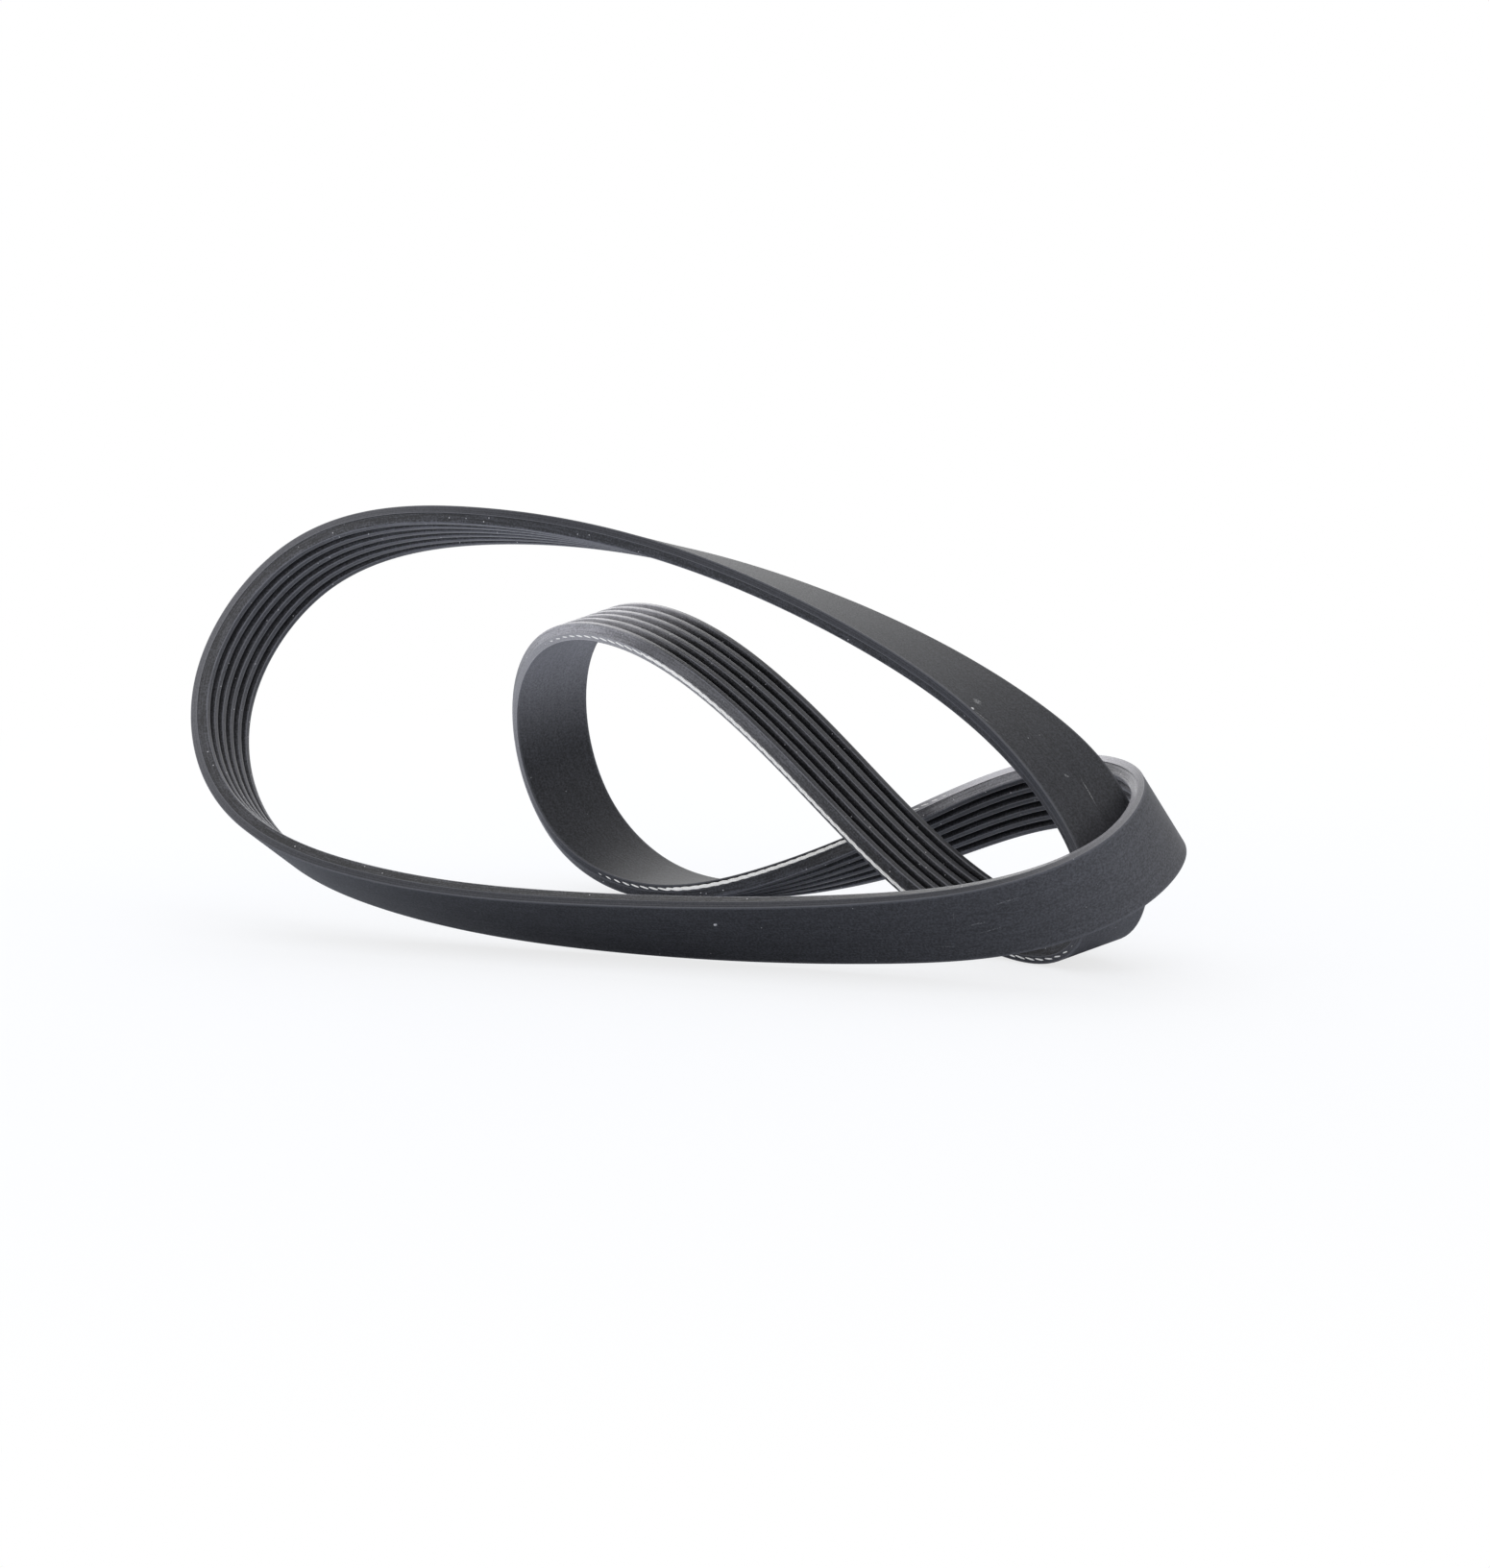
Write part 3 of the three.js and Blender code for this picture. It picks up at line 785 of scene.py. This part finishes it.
bend = add_node(tree, "GeometryNodeInputMeshEdgeAngle")
is_smooth = add_node(tree, MATH, {0: bend, 1: SHARP_ANGLE}, operation="LESS_THAN")
belt_body = add_node(tree, "GeometryNodeSetShadeSmooth", {"Geometry": bedded, "Shade Smooth": True})
softened = {"Geometry": belt_body, "Shade Smooth": is_smooth}
belt_body = add_node(tree, "GeometryNodeSetShadeSmooth", softened, domain="EDGE")
off_middle = add_node(tree, MATH, {0: section_x}, operation="ABSOLUTE")
edge_start = add_node(tree, MATH, {0: half_width, 1: EDGE_SHARE}, operation="MULTIPLY")
in_edge = add_node(tree, MATH, {0: off_middle, 1: edge_start}, operation="GREATER_THAN")
in_back = add_node(tree, MATH, {0: section_level, 1: edge_radius}, operation="LESS_THAN")
belt_body = add_node(tree, "GeometryNodeRealizeInstances", {"Geometry": belt_body})
finishes = [(True, "Rib Rubber"), (in_edge, "Edge Rubber"), (in_back, "Back Rubber")]
for where, rubber in finishes:
    choice = {"Geometry": belt_body, "Selection": where, "Material": size[rubber]}
    belt_body = add_node(tree, "GeometryNodeSetMaterial", choice)
add_node(tree, "NodeGroupOutput", {"Mesh": belt_body})
print(len(tree.nodes), "nodes in the belt's tree")

# %% Make the belt
turn = 2 * math.pi * station_lengths / belt_length
circle_radius = belt_length / (2 * math.pi) / LAY_STRETCH
circle_place = np.stack([np.cos(turn), np.sin(turn), 0 * turn], axis=1) * circle_radius
attributes = {
    "across": stations["across"],
    "open": station_open,
    "circle": circle_place,
    "bloom_and_sheen": station_bloom_and_sheen,
}
belt_line = make_line("belt", stations["centre"], attributes, is_ring=True)
belt = run_tree(belt_line, tree, belt_sizes)

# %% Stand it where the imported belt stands
low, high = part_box("ribbed_belt")
corner_places = np.array([vertex.co for vertex in belt.data.vertices])
lowest, highest = corner_places.min(axis=0), corner_places.max(axis=0)
to_middle = np.array((low + high) / 2) - (lowest + highest) / 2
shift = np.array([to_middle[0], to_middle[1], low.z - lowest[2]])
belt.data.transform(Matrix.Translation(shift))
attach(belt, "root")
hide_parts("ribbed_belt")
print("shift in mm", (shift / MM).round(2))
print("box off by", ((highest - lowest - np.array(high - low)) / MM).round(2), "mm")

# %% [markdown]
# ## Scuffs on the smooth back
#
# A belt that has been handled carries a few scratches and rubbed spots. Each one is listed:
# the guide it lies near, how far beyond it and across, its length, width and slant, and
# how pale it is. A Mapping node of the kind Texture turns a place on the belt into a place on
# the scuff, where everything less than 1 from the middle belongs to it. Noise breaks it up, but
# hardly where the paleness is far above 1.

# %% Place the scuffs
# guide, mm beyond it, mm across, length and width in mm, slant in degrees, paleness
SCUFFS = [
    ("top_strip_end", -7.5, -9.7, 0.9, 0.8, 0, 4),
    ("top_strip_end", -4, -9.6, 6, 0.4, 8, 0.4),
    ("top_strip_end", -9, -6, 2.5, 2.5, 0, 0.4),
    ("low_turn_in", -8.5, -1.7, 1.6, 0.9, 30, 0.35),
    ("low_turn_in", -2.5, 1, 9, 0.4, -4, 0.35),
    ("front_strip", 14, 2, 9, 0.4, 8, 0.16),
    ("front_strip", 17, -0.5, 5, 0.7, 6, 0.2),
    ("front_strip", 22, -3.5, 4, 0.4, 80, 0.14),
    ("front_strip", 26, 5.5, 5, 0.4, -6, 0.2),
    ("front_strip", 9, -5.5, 7, 0.5, 5, 0.16),
    ("front_strip_mid", -28, -4.1, 1.1, 0.9, 60, 8),
]
SCUFF_DEPTH = 1.5 * MM
SCUFF_GRAIN = 0.35 * MM
SCUFF_CORE = 0.4

tree = back_rubber.node_tree
here = add_node(tree, "ShaderNodeTexCoord", output="Object")
scuffed = 0.0
for guide, beyond, across_at, long, wide, slant, paleness in SCUFFS:
    way = stations_at(np.array([length_at(guide) + beyond * MM]))
    middle, across, inward = (Vector(way[label][0]) for label in ("centre", "across", "inward"))
    axes = Matrix((inward.cross(across), across, -inward)).transposed()
    turned = axes @ Matrix.Rotation(math.radians(slant), 3, "Z")
    spot = {
        "Vector": here,
        "Location": middle + across * across_at * MM + Vector(shift),
        "Rotation": turned.to_euler(),
        "Scale": (long / 2 * MM, wide / 2 * MM, SCUFF_DEPTH),
    }
    inside = add_node(tree, "ShaderNodeMapping", spot, vector_type="TEXTURE")
    out = add_node(tree, VECTOR_MATH, {0: inside}, output="Value", operation="LENGTH")
    fade = {"From Min": SCUFF_CORE, "From Max": 1, "To Min": paleness, "To Max": 0}
    mark = add_node(tree, "ShaderNodeMapRange", {"Value": out, **fade})
    scuffed = add_node(tree, MATH, {0: mark, 1: scuffed}, operation="MAXIMUM")
fine = {"Vector": here, "Scale": 1 / SCUFF_GRAIN, "Detail": 2}
flecks = add_node(tree, "ShaderNodeTexNoise", fine)
rise = {"From Min": 0.44, "From Max": 0.6, "To Min": 0.1}
broken = add_node(tree, "ShaderNodeMapRange", {"Value": flecks, **rise})
rubbed = add_node(tree, MATH, {0: scuffed, 1: broken}, operation="MULTIPLY")
print(len(SCUFFS), "scuffs")

# %% Dust on the smooth back: a few pale grains
DUST_CELL = 3 * MM
DUST_SIZE = 0.16 * MM
DUST_SHARE = 0.2
DUST_PALENESS = 0.4

grains = add_specks(tree, here, DUST_CELL, DUST_SIZE, DUST_SHARE)
pale = add_node(tree, MATH, {0: grains, 1: DUST_PALENESS}, operation="MULTIPLY")
marks = add_node(tree, MATH, {0: rubbed, 1: pale}, operation="MAXIMUM")
scuffed_back = lay_over(tree, back_finish, [(marks, "#c4c4c6")])
feed(tree.nodes["Principled BSDF"], {"Base Color": scuffed_back})
print("a grain of dust in", DUST_SHARE, "of the cells")

# %% [markdown]
# ## The cord: twisted polyester yarn
#
# The tensile cord is three plies of white polyester filament, twisted together. Its lay, the
# length of one full turn, is about ten times its width. Dirt from the engine bay greys it here
# and there, in patches some millimetres long.

# %% Material: twisted polyester yarn
FLUFF = 0.15 * MM
GRIME = 2.5 * MM

cord_yarn, tree, shader = new_material("twisted_polyester_yarn")
here = add_node(tree, "ShaderNodeTexCoord", output="Object")
fluff = add_node(tree, "ShaderNodeTexNoise", {"Vector": here, "Scale": 1 / FLUFF, "Detail": 2})
grime = add_node(tree, "ShaderNodeTexNoise", {"Vector": here, "Scale": 1 / GRIME, "Detail": 3})
soiled = add_node(
    tree, "ShaderNodeMapRange", {"Value": grime, "From Min": 0.5, "From Max": 0.75, "To Max": 0.25}
)
yarn = lay_over(tree, colour("#fffefb"), [(soiled, "#c9c7c3")])
bump = add_node(tree, "ShaderNodeBump", {"Height": fluff, "Distance": 0.03 * MM, "Strength": 0.5})
feed(shader, {"Base Color": yarn, "Normal": bump, "Roughness": 0.7, "Sheen Weight": 0.3})
print(cord_yarn.name)

# %% [markdown]
# Where the knife frees it, the yarn swells by about a tenth. A ply is a round bar that winds
# round the cord's middle. The tree copies the cord's line once for each ply, moves each copy on
# to its own screw line, and sweeps a circle along it. The knife's cut is the last step: whatever
# stands further out of the edge than a hair is pressed back, which leaves the crowns flat, as
# cut yarn is.

# %% The cord's tree
PLY_COUNT = 3
CORD_SWELL = 1.1
PLY_SHARE = 0.52
CORD_LAY = 9 * MM
KNIFE_PROUD = 0.06 * MM
PLY_SIDES = 10

cord_radius = CORD_SWELL * CORD_DIAMETER / 2
ply_radius = PLY_SHARE * cord_radius
cord_sizes = {
    "Ply Count": PLY_COUNT,
    "Ply Radius": ply_radius,
    "Screw Radius": cord_radius - ply_radius,
    "Lay": CORD_LAY,
    "Proud": KNIFE_PROUD,
    "Yarn": cord_yarn,
}
tree, size = new_tree("twisted_cord", cord_sizes)
across, inward, on_edge = (
    add_node(tree, "GeometryNodeInputNamedAttribute", {"Name": name}, data_type="FLOAT_VECTOR")
    for name in ("across", "inward", "on_edge")
)
run = add_node(tree, "GeometryNodeSplineParameter", output="Length")
lines = add_node(tree, "GeometryNodeMeshToCurve", {"Mesh": size["Line"]})
copies = {"Geometry": lines, "Amount": size["Ply Count"]}
lines = add_node(tree, "GeometryNodeDuplicateElements", copies, domain="SPLINE")
ply = lines.node.outputs["Duplicate Index"]
ply_turn = add_node(tree, MATH, {0: ply, 1: size["Ply Count"]}, operation="DIVIDE")
run_turn = add_node(tree, MATH, {0: run, 1: size["Lay"]}, operation="DIVIDE")
turns = add_node(tree, MATH, {0: ply_turn, 1: run_turn}, operation="SUBTRACT")
angle = add_node(tree, MATH, {0: turns, 1: 2 * math.pi}, operation="MULTIPLY")
cosine = add_node(tree, MATH, {0: angle}, operation="COSINE")
sine = add_node(tree, MATH, {0: angle}, operation="SINE")
by_across = add_node(tree, VECTOR_MATH, {0: across, 3: cosine}, operation="SCALE")
by_inward = add_node(tree, VECTOR_MATH, {0: inward, 3: sine}, operation="SCALE")
wound = add_node(tree, VECTOR_MATH, {0: by_across, 1: by_inward}, operation="ADD")
screw = add_node(tree, VECTOR_MATH, {0: wound, 3: size["Screw Radius"]}, operation="SCALE")
plies = add_node(tree, "GeometryNodeSetPosition", {"Geometry": lines, "Offset": screw})
round_bar = {"Resolution": PLY_SIDES, "Radius": size["Ply Radius"]}
bar = add_node(tree, "GeometryNodeCurvePrimitiveCircle", round_bar)
sweep = {"Curve": plies, "Profile Curve": bar, "Fill Caps": True}
plies = add_node(tree, "GeometryNodeCurveToMesh", sweep)

# %% The knife's cut
spot = add_node(tree, "GeometryNodeInputPosition")
from_edge = add_node(tree, VECTOR_MATH, {0: spot, 1: on_edge}, operation="SUBTRACT")
depth = add_node(
    tree, VECTOR_MATH, {0: from_edge, 1: across}, output="Value", operation="DOT_PRODUCT"
)
stands_out = add_node(tree, MATH, {0: depth, 1: size["Proud"]}, operation="ADD")
too_far = add_node(tree, MATH, {0: stands_out, 1: 0}, operation="MINIMUM")
pressed = add_node(tree, MATH, {0: too_far, 1: -1}, operation="MULTIPLY")
back_in = add_node(tree, VECTOR_MATH, {0: across, 3: pressed}, operation="SCALE")
plies = add_node(tree, "GeometryNodeSetPosition", {"Geometry": plies, "Offset": back_in})
plies = add_node(tree, "GeometryNodeSetShadeSmooth", {"Geometry": plies, "Shade Smooth": True})
plies = add_node(tree, "GeometryNodeRealizeInstances", {"Geometry": plies})
plies = add_node(tree, "GeometryNodeSetMaterial", {"Geometry": plies, "Material": size["Yarn"]})
add_node(tree, "NodeGroupOutput", {"Mesh": plies})
print(len(tree.nodes), "nodes in the cord's tree")

# %% Make the two open stretches
CORD_STEP = 0.4 * MM
RUN_ON = 8 * MM
# how deep the yarn's middle lies below the cut edge, in mm, where the cord is open this far
YARN_DEPTHS_MM = {0: 0.49, 0.1: 0.445, 0.3: 0.4, 0.6: 0.35, 0.8: 0.18, 1: 0.02}


def make_cord(tree, node, stretch):
    """The cord on one stretch: sunk in the rubber at its ends, and nearly flush between."""
    first, last = stretch["node_ends"]
    lengths = np.arange(length_at(first) - RUN_ON, length_at(last), CORD_STEP)
    way = stations_at(lengths)
    is_open = openness(lengths, stretch)
    depth = np.interp(is_open, list(YARN_DEPTHS_MM), list(YARN_DEPTHS_MM.values())) * MM
    on_edge = way["centre"] - way["across"] * BELT_WIDTH / 2 + way["inward"] * CORD_TO_BACK + shift
    points = on_edge + way["across"] * depth[:, None]
    attributes = {"across": way["across"], "inward": way["inward"], "on_edge": on_edge}
    line = make_line(node.replace("cord", "yarn"), points, attributes, is_ring=False)
    cord = run_tree(line, tree, cord_sizes)
    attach(cord, "root")
    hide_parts(node)


for node, stretch in OPEN_STRETCHES.items():
    make_cord(tree, node, stretch)

# %% [markdown]
# ## Floor, background and lamps
#
# The belt lies on a seamless white table in soft light. Most of it comes evenly from all round.
# A large soft lamp, high behind the belt, gives the sheen on what faces up and back, and a weak
# one lifts the left side. The floor is pale and keeps a faint shadow. Further out it turns to
# plain white for the camera, as the background does, so that no horizon shows.

# %% Floor
FLOOR_HALF = 6.0
SHADOW_FADES_FROM = 0.12
SHADOW_ENDS_AT = 0.45
WHITE_SHARE_NEAR = 0.75

floor_data = bpy.data.meshes.new("floor")
low, high = -FLOOR_HALF, FLOOR_HALF
floor_corners = [(low, low, 0), (high, low, 0), (high, high, 0), (low, high, 0)]
floor_data.from_pydata(floor_corners, [], [(0, 1, 2, 3)])
floor = add_object("floor", floor_data)

floor_paint, tree, shader = new_material("matt_white_table")
feed(shader, {"Base Color": colour("#e9eef9"), "Roughness": 0.9})
here = add_node(tree, "ShaderNodeTexCoord", output="Object")
out = add_node(tree, VECTOR_MATH, {0: here}, output="Value", operation="LENGTH")
fade = {"From Min": SHADOW_FADES_FROM, "From Max": SHADOW_ENDS_AT, "To Min": WHITE_SHARE_NEAR}
away = add_node(tree, "ShaderNodeMapRange", {"Value": out, **fade})
ray = add_node(tree, "ShaderNodeLightPath", output="Is Camera Ray")
white_share = add_node(tree, MATH, {0: away, 1: ray}, operation="MULTIPLY")
white = add_node(tree, "ShaderNodeEmission", {"Color": (1, 1, 1, 1), "Strength": 1})
blend = {"Fac": white_share, 1: shader.outputs["BSDF"], 2: white}
surface = add_node(tree, "ShaderNodeMixShader", blend)
feed(tree.nodes["Material Output"], {"Surface": surface})
floor_data.materials.append(floor_paint)
print("floor", 2 * FLOOR_HALF, "m wide")

# %% Background
SKY_LEVEL = 0.9

world = bpy.data.worlds.new("studio")
world.use_nodes = True
bpy.context.scene.world = world
tree = world.node_tree
rays = add_node(tree, "ShaderNodeLightPath").node.outputs
seen = rays["Is Camera Ray"]
for kind in ("Is Glossy Ray", "Is Transmission Ray"):
    seen = add_node(tree, MATH, {0: seen, 1: rays[kind]}, operation="MAXIMUM")
level = add_node(tree, "ShaderNodeMapRange", {"Value": seen, "To Min": SKY_LEVEL, "To Max": 1})
feed(tree.nodes["Background"], {"Strength": level, "Color": (1, 1, 1, 1)})
print("sky", SKY_LEVEL)


# %% Lamps
def add_lamp(name, place, aim, width, watts):
    """A soft square lamp at a place, turned towards its aim."""
    data = bpy.data.lights.new(name, "AREA")
    data.size = width
    data.energy = watts
    lamp = add_object(name, data)
    lamp.location = place
    lamp.rotation_euler = (Vector(aim) - Vector(place)).to_track_quat("-Z", "Y").to_euler()
    print(name, watts, "W")


add_lamp("back_softbox", (-0.2, 1.15, 0.85), (0, 0, 0.04), 1.2, 7)
add_lamp("left_fill", (-1.1, -0.6, 0.7), (0, 0, 0.05), 0.9, 2)
